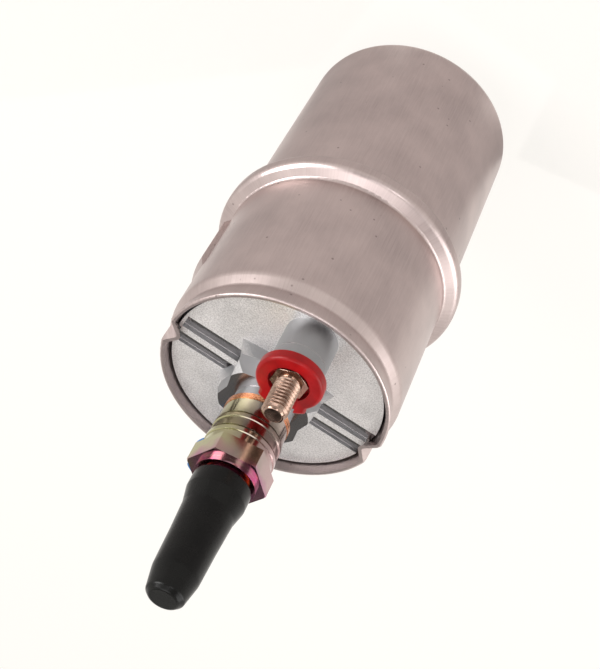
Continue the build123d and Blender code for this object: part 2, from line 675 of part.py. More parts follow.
def make_windings():
    foot = CORE_Z - FREE_GAP
    head = CORE_TOP_Z + FREE_GAP
    bend = END_TURN_HEIGHT / 3
    windings = end_turns(foot - END_TURN_HEIGHT, foot, [bend, bend, 0, 0])
    windings += end_turns(head, head + END_TURN_HEIGHT, [0, 0, bend, bend])
    bundle = rod(SLOT_RADIUS - FREE_GAP, foot, head)
    for coil_side in around(bundle, CORE_SLOTS, SLOT_CIRCLE):
        windings += coil_side
    return windings


def make_commutator_hub():
    washer_z = COVER_BOSS_Z - FACE_GAP - THRUST_WASHER_THICKNESS
    body = rod(COMMUTATOR_HUB_RADIUS, COMMUTATOR_Z, COMMUTATOR_TOP_Z)
    body += rod(COMMUTATOR_COLLAR_RADIUS, COMMUTATOR_TOP_Z, washer_z)
    return body - rod(SHAFT_RADIUS + FIT_GAP, COMMUTATOR_Z, COVER_BOSS_Z)


def make_commutator_bars():
    inner = COMMUTATOR_HUB_RADIUS + FIT_GAP
    shell = ring(COMMUTATOR_RADIUS, inner, COMMUTATOR_Z, COMMUTATOR_TOP_Z - FREE_GAP)
    shell += ring(COMMUTATOR_RADIUS + RISER_REACH, inner, COMMUTATOR_Z, COMMUTATOR_Z + RISER_HEIGHT)
    gap = block(0, 2 * COMMUTATOR_RADIUS, -BAR_GAP / 2, BAR_GAP / 2, COMMUTATOR_Z, COMMUTATOR_TOP_Z)
    return drilled(shell, around(gap, COMMUTATOR_BARS))


# Magnets
def make_flux_ring():
    return ring(INNER_RADIUS, INNER_RADIUS - FLUX_RING_THICKNESS, FLUX_RING_Z, BRUSH_HOLDER_Z)


def make_magnet(direction):
    inner = CORE_RADIUS + AIR_GAP
    return sector(MAGNET_RADIUS, inner, direction - MAGNET_ANGLE / 2, MAGNET_ANGLE,
                  FLUX_RING_Z + MAGNET_BOTTOM_SPACE, BRUSH_HOLDER_Z - MAGNET_TOP_SPACE)


def make_magnet_clips():
    sweep = 180 - MAGNET_ANGLE - 2 * degrees(FIT_GAP / CORE_RADIUS)
    middle = (FLUX_RING_Z + BRUSH_HOLDER_Z) / 2
    clip = sector(MAGNET_RADIUS, MAGNET_RADIUS - CLIP_THICKNESS, 90 - sweep / 2, sweep,
                  middle - CLIP_LENGTH / 2, middle + CLIP_LENGTH / 2)
    return [clip, Rot(0, 0, 180) * clip]


# Brush gear
def brush_block(side_gap, y_from, y_to):
    """The brush's section between two distances from the axis, grown by a gap."""
    half = BRUSH_WIDTH / 2 + side_gap
    return block(-half, half, y_from, y_to, BRUSH_Z - BRUSH_HEIGHT / 2 - side_gap,
                 BRUSH_Z + BRUSH_HEIGHT / 2 + side_gap)


def make_brush_holder():
    clear = COMMUTATOR_RADIUS + RISER_REACH + FREE_GAP
    holder = ring(INNER_RADIUS, INNER_RADIUS - BRUSH_HOLDER_WALL, BRUSH_HOLDER_Z, SKIRT_Z)
    holder += rod(INNER_RADIUS - BRUSH_HOLDER_WALL / 2, BRIDGE_Z, BRIDGE_Z + BRIDGE_THICKNESS)
    window = sector(MAGNET_RADIUS - BRUSH_GUIDE_WALL, clear + WINDOW_RIM, -WINDOW_ANGLE / 2, WINDOW_ANGLE,
                    BRIDGE_Z, BRIDGE_Z + BRIDGE_THICKNESS)
    holder = drilled(holder, around(window, 2))
    guide = brush_block(SLIDE_GAP + BRUSH_GUIDE_WALL, clear - BRUSH_GUIDE_WALL, STRIP_Y)
    guide += block(-BRUSH_WIDTH / 2, BRUSH_WIDTH / 2, clear, STRIP_Y,
                   BRUSH_Z + BRUSH_HEIGHT / 2 + SLIDE_GAP, BRIDGE_Z)
    holder += both_ends(guide)
    strip_half = CONTACT_WIDTH / 2 + SLIDE_GAP
    strip_slot = block(-strip_half, strip_half, STRIP_Y, STRIP_Y + CONTACT_THICKNESS + SLIDE_GAP,
                       BRUSH_HOLDER_Z, SKIRT_Z)
    holder -= both_ends(brush_block(SLIDE_GAP, 0, STRIP_Y) + strip_slot)
    holder -= rod(clear, BRUSH_HOLDER_Z, COMMUTATOR_Z + RISER_HEIGHT + RISER_ROOM)
    return holder - rod(COMMUTATOR_RADIUS + COMMUTATOR_ROOM, BRUSH_HOLDER_Z, SKIRT_Z)


def make_brush(turn):
    brush = brush_block(0, 0, BRUSH_BACK) - rod(BRUSH_FACE, BRUSH_HOLDER_Z, SKIRT_Z)
    return Rot(0, 0, turn) * brush


def make_brush_spring(turn):
    spring = coil(BRUSH_SPRING_RADIUS, BRUSH_SPRING_WIRE, BRUSH_SPRING_COILS, BRUSH_BACK, STRIP_Y)
    return Rot(0, 0, turn) * Pos(0, 0, BRUSH_Z) * Rot(-90, 0, 0) * spring


def make_contact(turn):
    half = CONTACT_WIDTH / 2
    back = STRIP_Y + CONTACT_THICKNESS
    top = STRIP_Z + CONTACT_THICKNESS
    strip = block(-half, half, STRIP_Y, back, BRUSH_Z - BRUSH_HEIGHT / 2, top)
    strip += block(-half, half, TOWER_OFFSET, back, STRIP_Z, top)
    strip += at_terminal(rod(CONTACT_EYE_RADIUS, STRIP_Z, top))
    strip -= at_terminal(rod(STUD_SHANK_RADIUS + FIT_GAP, STRIP_Z, top))
    return Rot(0, 0, turn) * strip


# End cover
def make_end_cover():
    cover = turned([
        (COVER_SKIRT_RADIUS, SKIRT_Z),
        (INNER_RADIUS, SKIRT_Z),
        (INNER_RADIUS, LIP_Z - SHOULDER_TO_LIP - SHOULDER_GAP),
        (PLATE_RADIUS, LIP_Z - NECK_TO_LIP - SHOULDER_GAP),
        (PLATE_RADIUS, PLATE_Z),
        (0, PLATE_Z),
        (0, PLATE_Z - PLATE_THICKNESS),
        (COVER_SKIRT_RADIUS, PLATE_Z - PLATE_THICKNESS),
    ])
    cover -= make_channels()
    cover += make_rib()
    cover += make_hub()
    cover += rod(HUB_NECK_RADIUS, HUB_TOP_Z, NECK_TOP_Z)
    cover += rod(COVER_BOSS_RADIUS, COVER_BOSS_Z, PLATE_Z)
    cover += both_ends(at_terminal(rod(TOWER_RADIUS, TOWER_FOOT_Z, TOWER_Z)))
    cover -= both_ends(at_terminal(rod(TOWER_BORE, TOWER_FOOT_Z, TOWER_Z)))
    cover -= both_ends(at_terminal(rod(INNER_FLANGE_RADIUS + FREE_GAP, SKIRT_Z, TOWER_FOOT_Z)))
    cover -= notches(NOTCH_WALL + FREE_GAP)
    cover -= rod(VALVE_STUB_RADIUS + FIT_GAP, STUB_Z - OVERRUN, NECK_TOP_Z)
    cover -= rod(BUSH_RADIUS + FIT_GAP, COVER_BOSS_Z, COVER_BOSS_Z + BUSH_LENGTH)
    cover -= rod(SHAFT_RADIUS + 2 * FREE_GAP, COVER_BOSS_Z, STUB_Z)
    window = block(-FLOW_WINDOW_WIDTH / 2, FLOW_WINDOW_WIDTH / 2, 0, 2 * COVER_BOSS_RADIUS,
                   WINDOW_TOP_Z - FLOW_WINDOW_HEIGHT, WINDOW_TOP_Z)
    cover = drilled(cover, around(window, 4, 0, 45))
    cover -= rod(VALVE_BORE_RADIUS, WINDOW_TOP_Z - FLOW_WINDOW_HEIGHT, STUB_Z)
    groove_z = SKIRT_Z + COVER_SEAL_FROM_EDGE
    groove_top = groove_z + COVER_SEAL_SECTION + FIT_GAP
    return cover - ring(CAN_RADIUS, CAN_BORE - COVER_SEAL_DEPTH, groove_z, groove_top)


def star(spur_radius, height):
    """The hub's outline at a height: a spur at each corner, and a flat's middle between two spurs."""
    corners = []
    for k in range(6):
        spur = radians(30 + 60 * k)
        middle = radians(60 + 60 * k)
        corners.append((spur_radius * cos(spur), spur_radius * sin(spur)))
        corners.append((HUB_FLATS / 2 * cos(middle), HUB_FLATS / 2 * sin(middle)))
    return Pos(0, 0, height) * make_face(Polyline(*corners, close=True))


def make_hub():
    """The hexagonal boss for the check valve, with a spur up each of its corners."""
    foot_top = PLATE_Z + SPUR_FOOT_HEIGHT
    hub = loft([star(SPUR_FOOT_RADIUS, PLATE_Z), star(SPUR_RADIUS, foot_top)], ruled=True)
    spurs_end = turned([
        (0, foot_top),
        (SPUR_RADIUS, foot_top),
        (SPUR_RADIUS, PLATE_Z + SPUR_HEIGHT),
        (HUB_CORNER_RADIUS, HUB_TOP_Z),
        (0, HUB_TOP_Z),
    ])
    return hub + (extrude(star(SPUR_RADIUS, foot_top), HUB_TOP_Z - foot_top) & spurs_end)


def make_channels():
    """The channels beside the cross rib: one of their four arms ends short of the plate's edge."""
    half = RIB_WIDTH / 2 + CHANNEL_WIDTH
    floor = PLATE_Z - CHANNEL_DEPTH
    top = PLATE_Z + OVERRUN
    open_arms = block(-CAN_RADIUS, CAN_RADIUS, RIB_OFFSET, RIB_OFFSET + half, floor, top)
    open_arms += block(-CAN_RADIUS, 0, RIB_OFFSET - half, RIB_OFFSET, floor, top)
    short_arm = block(0, PLATE_RADIUS - RIB_END_GAP, RIB_OFFSET - half, RIB_OFFSET, floor, top)
    return open_arms + short_arm


def make_rib():
    """The cross rib: a wall between the channels, whose top falls a little towards both ends."""
    end = PLATE_RADIUS - RIB_END_GAP
    foot = PLATE_Z - CHANNEL_DEPTH - OVERRUN
    side = make_face(Polyline(
        (-end, foot),
        (end, foot),
        (end, PLATE_Z + RIB_OUTER_RISE),
        (0, PLATE_Z + RIB_INNER_RISE),
        (-end, PLATE_Z + RIB_OUTER_RISE),
        close=True,
    ))
    return Pos(0, RIB_OFFSET, 0) * extrude(Plane.XZ * side, RIB_WIDTH / 2, both=True)


def make_cover_seal():
    radius = CAN_BORE - (COVER_SEAL_DEPTH + FIT_GAP) / 2
    height = SKIRT_Z + COVER_SEAL_FROM_EDGE + (COVER_SEAL_SECTION + FIT_GAP) / 2
    section = Circle(min(COVER_SEAL_DEPTH, COVER_SEAL_SECTION) / 2 - FIT_GAP)
    return revolve(Plane.XZ * Pos(radius, height) * section, Axis.Z)


# Terminals
def at_terminal(piece):
    """A piece moved onto the negative terminal's axis, on the +Y side."""
    return Pos(0, TOWER_OFFSET, 0) * piece


def make_insulator(side, turn):
    top = TOWER_Z + INSULATOR_HEIGHT
    jaws = rod(JAW_REACH, TOWER_Z, top) & block(0, JAW_REACH, -JAW_HALF_WIDTH, JAW_HALF_WIDTH, TOWER_Z, top)
    cup = rod(INSULATOR_RADIUS, TOWER_Z, top) + jaws
    cup -= rod(STUD_CORNER_RADIUS + FREE_GAP, COLLAR_Z, top)
    cup -= block(0, 2 * JAW_REACH, -LEAD_SLOT / 2, LEAD_SLOT / 2, COLLAR_Z, top)
    cup += rod(TOWER_BORE - FIT_GAP, SLEEVE_Z, TOWER_Z)
    cup -= rod(STUD_SHANK_RADIUS + FIT_GAP, SLEEVE_Z, top)
    return Pos(0, side * TOWER_OFFSET, 0) * Rot(0, 0, 90 + turn) * cup


def make_stud(turn):
    stud = hexagon(STUD_FLATS, COLLAR_Z, THREAD_Z)
    thread = rod(STUD_RADIUS, THREAD_Z, THREAD_Z + STUD_LENGTH)
    stud += chamfer(thread.edges().filter_by(GeomType.CIRCLE).sort_by(Axis.Z)[-1], STUD_CHAMFER)
    stud += rod(STUD_SHANK_RADIUS, NUT_Z - OVERRUN, COLLAR_Z)
    return Rot(0, 0, turn) * at_terminal(stud)


def make_stud_seals():
    side = (TOWER_BORE - STUD_SHANK_RADIUS - 2 * FIT_GAP) / 2
    centre = (STUD_SHANK_RADIUS + FIT_GAP + side, SLEEVE_Z - FIT_GAP - side)
    seal = revolve(Plane.XZ * Pos(*centre) * Circle(side), Axis.Z)
    return [Rot(0, 0, turn) * at_terminal(seal) for turn in (0, 180)]


def make_inner_insulators():
    sleeve_top = SLEEVE_Z - (TOWER_BORE - STUD_SHANK_RADIUS)
    bush = rod(INNER_FLANGE_RADIUS, STRIP_Z + CONTACT_THICKNESS, TOWER_FOOT_Z)
    bush += rod(TOWER_BORE - FIT_GAP, STRIP_Z + CONTACT_THICKNESS, sleeve_top)
    bush -= rod(STUD_SHANK_RADIUS + FIT_GAP, STRIP_Z, sleeve_top)
    return [Rot(0, 0, turn) * at_terminal(bush) for turn in (0, 180)]


def make_terminal_nuts():
    nut = hexagon(NUT_FLATS, NUT_Z, STRIP_Z, 30) - rod(STUD_SHANK_RADIUS + FIT_GAP, NUT_Z, STRIP_Z)
    return [Rot(0, 0, turn) * at_terminal(nut) for turn in (0, 180)]


# Check valve
def make_sealing_washer():
    return ring(WASHER_RADIUS, VALVE_STUB_RADIUS + FIT_GAP, NECK_TOP_Z, VALVE_Z)


def body_radius(height):
    """The valve body's radius at a height above its seat on the washer."""
    return VALVE_BODY_RADIUS + (VALVE_BODY_TOP_RADIUS - VALVE_BODY_RADIUS) * height / VALVE_BODY_LENGTH


def valve_ring(height):
    """The outline of one raised ring on the valve body and the groove below it."""
    radius = body_radius(height)
    bottom = VALVE_Z + height
    top = bottom + VALVE_RING_WIDTH
    return [
        (radius, bottom - VALVE_GROOVE),
        (radius - VALVE_GROOVE, bottom - VALVE_GROOVE),
        (radius - VALVE_GROOVE, bottom),
        (radius + VALVE_RING_RISE, bottom + VALVE_RING_EDGE),
        (radius + VALVE_RING_RISE, top),
        (radius, top + VALVE_RING_EDGE),
    ]


def make_valve_body():
    outline = [
        (0, STUB_Z),
        (VALVE_STUB_RADIUS - VALVE_EDGE, STUB_Z),
        (VALVE_STUB_RADIUS, STUB_Z + VALVE_EDGE),
        (VALVE_STUB_RADIUS, VALVE_Z),
        (VALVE_BODY_RADIUS, VALVE_Z),
    ]
    for height in VALVE_RINGS:
        outline += valve_ring(height)
    body = turned(outline + [(VALVE_BODY_TOP_RADIUS, VALVE_HEX_Z), (0, VALVE_HEX_Z)])
    crown = turned([
        (0, VALVE_HEX_Z),
        (VALVE_CORNER_RADIUS, VALVE_HEX_Z),
        (VALVE_CORNER_RADIUS, VALVE_COLLAR_Z - VALVE_HEX_CROWN),
        (VALVE_CORNER_RADIUS - VALVE_HEX_BEVEL, VALVE_COLLAR_Z),
        (0, VALVE_COLLAR_Z),
    ])
    body += hexagon(VALVE_FLATS, VALVE_HEX_Z, VALVE_COLLAR_Z, VALVE_HEX_TURN - 30) & crown
    relief = OUTLET_THREAD_RADIUS - OUTLET_THREAD_RELIEF
    body += turned([
        (0, VALVE_COLLAR_Z),
        (VALVE_COLLAR_RADIUS, VALVE_COLLAR_Z),
        (VALVE_COLLAR_RADIUS, OUTLET_Z),
        (relief, OUTLET_Z),
        (relief, OUTLET_Z + OUTLET_RELIEF_LENGTH),
        (OUTLET_THREAD_RADIUS, OUTLET_Z + 2 * OUTLET_RELIEF_LENGTH),
        (OUTLET_THREAD_RADIUS, THREAD_END_Z),
        (OUTLET_NOSE_RADIUS, NOSE_Z),
        (OUTLET_NOSE_RADIUS, NOSE_TOP_Z - VALVE_EDGE),
        (OUTLET_NOSE_RADIUS - VALVE_EDGE, NOSE_TOP_Z),
        (0, NOSE_TOP_Z),
    ])
    body -= rod(VALVE_BORE_RADIUS, STUB_Z, VALVE_SPRING_TOP_Z)
    return body - rod(OUTLET_BORE_RADIUS, VALVE_SPRING_TOP_Z, NOSE_TOP_Z)


def make_valve_seat():
    return ring(VALVE_BORE_RADIUS - FIT_GAP, SEAT_BORE_RADIUS, SEAT_Z, SEAT_Z + SEAT_LENGTH)


def make_poppet_seal():
    return rod(SEAT_BORE_RADIUS + SEAT_LAND, SEAT_Z + SEAT_LENGTH + FACE_GAP, POPPET_Z)


def make_valve_poppet():
    poppet = rod(VALVE_BORE_RADIUS - SLIDE_GAP, POPPET_Z, VALVE_SPRING_Z)
    flute = rod(POPPET_FLUTE_RADIUS, POPPET_Z, VALVE_SPRING_Z)
    poppet = drilled(poppet, around(flute, POPPET_FLUTES, VALVE_BORE_RADIUS))
    return poppet - rod(OUTLET_BORE_RADIUS / 2, POPPET_Z + POPPET_LENGTH / 2, VALVE_SPRING_Z)


def make_valve_spring():
    return coil(OUTLET_BORE_RADIUS + VALVE_SPRING_WIRE, VALVE_SPRING_WIRE, VALVE_SPRING_COILS,
                VALVE_SPRING_Z, VALVE_SPRING_TOP_Z)


# Protective cap
def make_protective_cap():
    step_z = CAP_Z + CAP_MOUTH_LENGTH
    middle_z = CAP_TOP_Z - CAP_LENGTH / 2
    outer = turned([
        (0, CAP_Z),
        (CAP_MOUTH_RADIUS, CAP_Z),
        (CAP_MOUTH_RADIUS, step_z),
        (CAP_WAIST_RADIUS, step_z + CAP_STEP_LENGTH),
        (CAP_BARREL_RADIUS, middle_z),
        (CAP_SHOULDER_RADIUS, CAP_TOP_Z - CAP_LENGTH / 5),
        (CAP_TIP_RADIUS + CAP_TIP_BEVEL, CAP_TOP_Z - CAP_TIP_BEVEL),
        (CAP_TIP_RADIUS, CAP_TOP_Z),
        (0, CAP_TOP_Z),
    ], [0, CAP_WALL / 3, *CAP_BENDS, 0])
    inner_top = CAP_TOP_Z - CAP_TIP_WALL
    thread_side = OUTLET_THREAD_RADIUS + CAP_FIT_GAP
    nose_side = OUTLET_NOSE_RADIUS + CAP_FIT_GAP
    inner = turned([
        (0, CAP_Z),
        (thread_side, CAP_Z),
        (thread_side, THREAD_END_Z),
        (nose_side, NOSE_Z + CAP_FIT_GAP),
        (nose_side, NOSE_TOP_Z),
        (CAP_BARREL_RADIUS - CAP_WALL, middle_z),
        (CAP_TIP_RADIUS, inner_top),
        (0, inner_top),
    ])
    return outer - inner


PIECES = {
    "can": make_can(),
    "inlet_cover": make_inlet_cover(),
    "inlet_seal": make_inlet_seal(),
    "inlet_screen": make_inlet_screen(),
    "cam_ring": make_cam_ring(),
    "rotor": make_rotor(),
    "rollers": make_rollers(),
    "port_plate": make_port_plate(),
    "stage_screws": make_stage_screws(),
    "stage_dowels": make_stage_dowels(),
    "relief_ball": make_relief_ball(),
    "relief_spring": make_relief_spring(),
    "shaft": make_shaft(),
    "lower_bush": make_lower_bush(),
    "upper_bush": make_upper_bush(),
    "thrust_washers": make_thrust_washers(),
    "armature_core": make_armature_core(),
    "windings": make_windings(),
    "commutator_hub": make_commutator_hub(),
    "commutator_bars": make_commutator_bars(),
    "flux_ring": make_flux_ring(),
    "north_magnet": make_magnet(0),
    "south_magnet": make_magnet(180),
    "magnet_clips": make_magnet_clips(),
    "brush_holder": make_brush_holder(),
    "negative_brush": make_brush(0),
    "positive_brush": make_brush(180),
    "negative_brush_spring": make_brush_spring(0),
    "positive_brush_spring": make_brush_spring(180),
    "negative_contact": make_contact(0),
    "positive_contact": make_contact(180),
    "end_cover": make_end_cover(),
    "cover_seal": make_cover_seal(),
    "negative_insulator": make_insulator(1, NEGATIVE_SLOT_TURN),
    "positive_insulator": make_insulator(-1, POSITIVE_SLOT_TURN),
    "negative_stud": make_stud(0),
    "positive_stud": make_stud(180),
    "stud_seals": make_stud_seals(),
    "inner_insulators": make_inner_insulators(),
    "terminal_nuts": make_terminal_nuts(),
    "sealing_washer": make_sealing_washer(),
    "valve_body": make_valve_body(),
    "valve_seat": make_valve_seat(),
    "poppet_seal": make_poppet_seal(),
    "valve_poppet": make_valve_poppet(),
    "valve_spring": make_valve_spring(),
    "protective_cap": make_protective_cap(),
}

os.makedirs("parts", exist_ok=True)
for name, piece in PIECES.items():
    export_step(as_node(piece), f"parts/{name}.step")
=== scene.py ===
import math

import bmesh
import bpy
from mathutils import Matrix, Vector


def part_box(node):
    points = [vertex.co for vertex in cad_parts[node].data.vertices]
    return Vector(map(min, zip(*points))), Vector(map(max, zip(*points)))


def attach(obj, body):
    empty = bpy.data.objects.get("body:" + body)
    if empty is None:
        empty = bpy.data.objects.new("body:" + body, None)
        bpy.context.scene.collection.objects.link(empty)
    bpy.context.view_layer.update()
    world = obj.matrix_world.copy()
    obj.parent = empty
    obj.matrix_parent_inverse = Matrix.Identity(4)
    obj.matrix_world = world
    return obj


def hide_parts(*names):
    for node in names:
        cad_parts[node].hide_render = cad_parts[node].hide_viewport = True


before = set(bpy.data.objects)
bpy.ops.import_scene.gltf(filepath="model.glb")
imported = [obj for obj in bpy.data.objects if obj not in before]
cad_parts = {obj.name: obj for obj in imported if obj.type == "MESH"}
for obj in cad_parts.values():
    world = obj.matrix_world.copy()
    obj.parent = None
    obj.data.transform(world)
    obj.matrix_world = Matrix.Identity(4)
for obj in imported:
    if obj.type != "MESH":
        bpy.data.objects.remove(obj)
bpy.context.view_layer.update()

# Looks of the electric in-line fuel pump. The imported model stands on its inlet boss, +Z runs to
# the outlet, and the positive terminal is on the -Y side. Lengths and heights are millimetres,
# and MM turns them to the metres that Blender takes.

MM = 0.001


# Sizes

CAN_RADIUS = 30.0
HUB_TOP = 136.5
CHANNEL_FLOOR = 126.65
TERMINAL_OFFSET = 19.8
CUP_INNER_RADIUS = 7.5
CUP_ROUND = 0.8

# The studs' M6 thread.
STUD_LENGTH = 10.0
STUD_RADIUS = 3.0
STUD_ROOT = 2.45
STUD_TIP_RADIUS = 2.25
STUD_PITCH = 1.0

# The outlet's M12 x 1.5 thread, between its two heights.
OUTLET_FOOT = 160.5
OUTLET_FOOT_RADIUS = 5.0
OUTLET_END = 166.7
OUTLET_END_RADIUS = 4.8
OUTLET_RADIUS = 6.0
OUTLET_ROOT = 5.2
OUTLET_PITCH = 1.5

# The inlet's M18 x 1.5 thread, from its mouth up. No part of it lies inside the clear radius.
INLET_RADIUS = 9.0
INLET_CREST = 8.19
INLET_CLEAR_RADIUS = 7.5
INLET_PITCH = 1.5
INLET_FOOT = 0.9
INLET_END = 12.5
INLET_DEPTH = 13.5
INLET_MOUTH_RADIUS = 9.19

# A ridge of thread is sunk this far into its shank, and points nearer than NEAR are in one place.
SINK = 0.05
NEAR = 0.01
AXIS = (0, 0)
SHARP_EDGE = math.radians(32)


# Colours, nodes and finishes

# A Mix node has several sockets of one name, so those of its colours are given by their place.
COLOUR_A = 6
COLOUR_B = 7
COLOUR_OUT = 2


def linear(colour):
    """An sRGB hex colour as the linear colour that a shader takes."""
    channels = [int(colour[k:k + 2], 16) / 255 for k in (1, 3, 5)]
    return [c / 12.92 if c <= 0.04045 else ((c + 0.055) / 1.055) ** 2.4 for c in channels] + [1.0]


def add(tree, kind, sockets=None, **settings):
    """Add a node with its settings. A socket takes a value, or another node's output as a link,
    and goes by its name, or by its place in a node that has two of one name."""
    node = tree.nodes.new("ShaderNode" + kind)
    for name, value in settings.items():
        setattr(node, name, value)
    for name, value in (sockets or {}).items():
        if isinstance(value, bpy.types.NodeSocket):
            tree.links.new(value, node.inputs[name])
        else:
            node.inputs[name].default_value = value
    return node


def finish(name, colour, roughness, metallic=0.0, **sockets):
    """A finish with its plain values; patterns are added to its tree afterwards."""
    made = bpy.data.materials.new(name)
    made.use_nodes = True
    made.diffuse_color = linear(colour)
    shader = made.node_tree.nodes["Principled BSDF"]
    shader.inputs["Base Color"].default_value = linear(colour)
    shader.inputs["Roughness"].default_value = roughness
    shader.inputs["Metallic"].default_value = metallic
    for socket, value in sockets.items():
        shader.inputs[socket.replace("_", " ")].default_value = value
    return made, made.node_tree, shader


def drawn_steel():
    """Deep-drawn steel can, satin: mauve grey, rubbed on the slant, with specks and scuffs."""
    made, tree, shader = finish("drawn_satin_steel", "#B9A8A5", 0.36, 1.0)
    place = add(tree, "TexCoord").outputs["Object"]
    apart = add(tree, "SeparateXYZ", {"Vector": place})
    back = add(tree, "Math", {0: apart.outputs["Y"], 1: -1.0}, operation="MULTIPLY")
    turn = add(tree, "Math", {0: apart.outputs["X"], 1: back.outputs[0]}, operation="ARCTAN2")
    # The can unrolled flat, so that a scratch keeps its width all round.
    girth = add(tree, "Math", {0: turn.outputs[0], 1: CAN_RADIUS * MM}, operation="MULTIPLY")
    flat = add(tree, "CombineXYZ", {"X": girth.outputs[0], "Y": apart.outputs["Z"]})
    # Rubbing marks by their lean, width and length: slanting ones, some that cross them, and
    # long ones that run nearly along the can.
    rubs = []
    for lean, width, length in ((35, 0.35, 9.0), (-50, 0.3, 6.0), (4, 0.5, 22.0)):
        slant = add(tree, "Mapping", {"Vector": flat.outputs[0], "Rotation": (0, 0, math.radians(lean)),
                                      "Scale": (1 / (width * MM), 1 / (length * MM), 1)})
        rubs.append(add(tree, "TexNoise", {"Vector": slant.outputs[0], "Scale": 1.0, "Detail": 3.0,
                                           "Roughness": 0.65}))
    some = add(tree, "Mix", {"Factor": 0.4, "A": rubs[0].outputs["Fac"], "B": rubs[1].outputs["Fac"]})
    rubbed = add(tree, "Mix", {"Factor": 0.3, "A": some.outputs[0], "B": rubs[2].outputs["Fac"]})
    # Handling stains 14 across, and dark specks about 0.6 across, one for each 5 or so.
    stains = add(tree, "TexNoise", {"Vector": place, "Scale": 1 / (14 * MM), "Detail": 4.0})
    specks = add(tree, "TexVoronoi", {"Vector": place, "Scale": 1 / (5 * MM), "Randomness": 1.0})
    dots = add(tree, "MapRange", {"Value": specks.outputs["Distance"], "From Min": 0.045,
                                  "From Max": 0.075, "To Min": 1.0, "To Max": 0.0})
    tone = add(tree, "MapRange", {"Value": stains.outputs["Fac"], "From Min": 0.35, "From Max": 0.65})
    base = add(tree, "Mix", {"Factor": tone.outputs[0], COLOUR_A: linear("#AFA09E"),
                             COLOUR_B: linear("#C3B3B0")}, data_type="RGBA")
    streak = add(tree, "MapRange", {"Value": rubbed.outputs[0], "From Min": 0.38, "From Max": 0.62,
                                    "To Max": 0.35})
    lined = add(tree, "Mix", {"Factor": streak.outputs[0], COLOUR_A: base.outputs[COLOUR_OUT],
                              COLOUR_B: linear("#D8CBC8")}, data_type="RGBA")
    spot = add(tree, "Math", {0: dots.outputs[0], 1: 0.55}, operation="MULTIPLY")
    dotted = add(tree, "Mix", {"Factor": spot.outputs[0], COLOUR_A: lined.outputs[COLOUR_OUT],
                               COLOUR_B: linear("#6B5F5C")}, data_type="RGBA")
    gloss = add(tree, "MapRange", {"Value": rubbed.outputs[0], "From Min": 0.35, "From Max": 0.65,
                                   "To Min": 0.31, "To Max": 0.42})
    relief = add(tree, "Bump", {"Height": rubbed.outputs[0], "Strength": 0.25, "Distance": 0.02 * MM})
    tree.links.new(dotted.outputs[COLOUR_OUT], shader.inputs["Base Color"])
    tree.links.new(gloss.outputs[0], shader.inputs["Roughness"])
    tree.links.new(relief.outputs[0], shader.inputs["Normal"])
    return made


def band(tree, value, middle, half=0.05, soft=0.02):
    """1 where a height lies within half of its middle, and 0 elsewhere, with a soft edge."""
    low = (middle - half) * MM
    high = (middle + half) * MM
    above = add(tree, "MapRange", {"Value": value, "From Min": low - soft * MM, "From Max": low})
    below = add(tree, "MapRange", {"Value": value, "From Min": high, "From Max": high + soft * MM,
                                   "To Min": 1.0, "To Max": 0.0})
    return add(tree, "Math", {0: above.outputs[0], 1: below.outputs[0]}, operation="MULTIPLY").outputs[0]


def die_cast():
    """Die-cast light alloy: pale, granular and matt where blasted; painted shade darkens its walls, the
    hub's top and the channels' floors, and the last two are smooth.
    """
    made, tree, shader = finish("blasted_die_casting", "#D2CFCE", 0.5, 1.0)
    place = add(tree, "TexCoord").outputs["Object"]
    height = add(tree, "SeparateXYZ", {"Vector": place}).outputs["Z"]
    # Grain 0.35 across, drawn a little coarser than the blasting leaves it so that it shows.
    grain = add(tree, "TexNoise", {"Vector": place, "Scale": 1 / (0.35 * MM), "Detail": 2.0})
    cloud = add(tree, "TexNoise", {"Vector": place, "Scale": 1 / (6 * MM), "Detail": 3.0})
    mottle = add(tree, "MapRange", {"Value": grain.outputs["Fac"], "From Min": 0.35, "From Max": 0.65})
    blasted = add(tree, "Mix", {"Factor": mottle.outputs[0], COLOUR_A: linear("#D2CECD"),
                                COLOUR_B: linear("#F6F3F2")}, data_type="RGBA")
    # The hub's top and the channels' floors keep a smooth skin, and their darker colour is painted shade.
    skin = add(tree, "Math", {0: band(tree, height, HUB_TOP), 1: band(tree, height, CHANNEL_FLOOR)},
               operation="MAXIMUM")
    # Walls, found by their facing, are painted a tone darker than the blasted faces as shade.
    facing = add(tree, "SeparateXYZ", {"Vector": add(tree, "NewGeometry").outputs["True Normal"]})
    level = add(tree, "Math", {0: facing.outputs["Z"]}, operation="ABSOLUTE")
    wall_shade = add(tree, "MapRange", {"Value": level.outputs[0], "From Min": 0.25, "From Max": 0.6,
                                  "To Min": 1.0, "To Max": 0.0})
    wall_shaded = add(tree, "Mix", {"Factor": wall_shade.outputs[0], COLOUR_A: blasted.outputs[COLOUR_OUT],
                               COLOUR_B: linear("#9FA0A2")}, data_type="RGBA")
    # The hub's top and the channels' floors take a darker grey here: painted shade.
    base = add(tree, "Mix", {"Factor": skin.outputs[0], COLOUR_A: wall_shaded.outputs[COLOUR_OUT],
                             COLOUR_B: linear("#B4B0B0")}, data_type="RGBA")
    dull = add(tree, "MapRange", {"Value": cloud.outputs["Fac"], "From Min": 0.3, "From Max": 0.7,
                                  "To Min": 0.46, "To Max": 0.58})
    gloss = add(tree, "Mix", {"Factor": skin.outputs[0], "A": dull.outputs[0], "B": 0.2})
    rough = add(tree, "MapRange", {"Value": skin.outputs[0], "To Min": 0.45, "To Max": 0.08})
    relief = add(tree, "Bump", {"Height": grain.outputs["Fac"], "Strength": rough.outputs[0],
                                "Distance": 0.05 * MM})
    tree.links.new(base.outputs[COLOUR_OUT], shader.inputs["Base Color"])
    tree.links.new(gloss.outputs[0], shader.inputs["Roughness"])
    tree.links.new(relief.outputs[0], shader.inputs["Normal"])
    return made


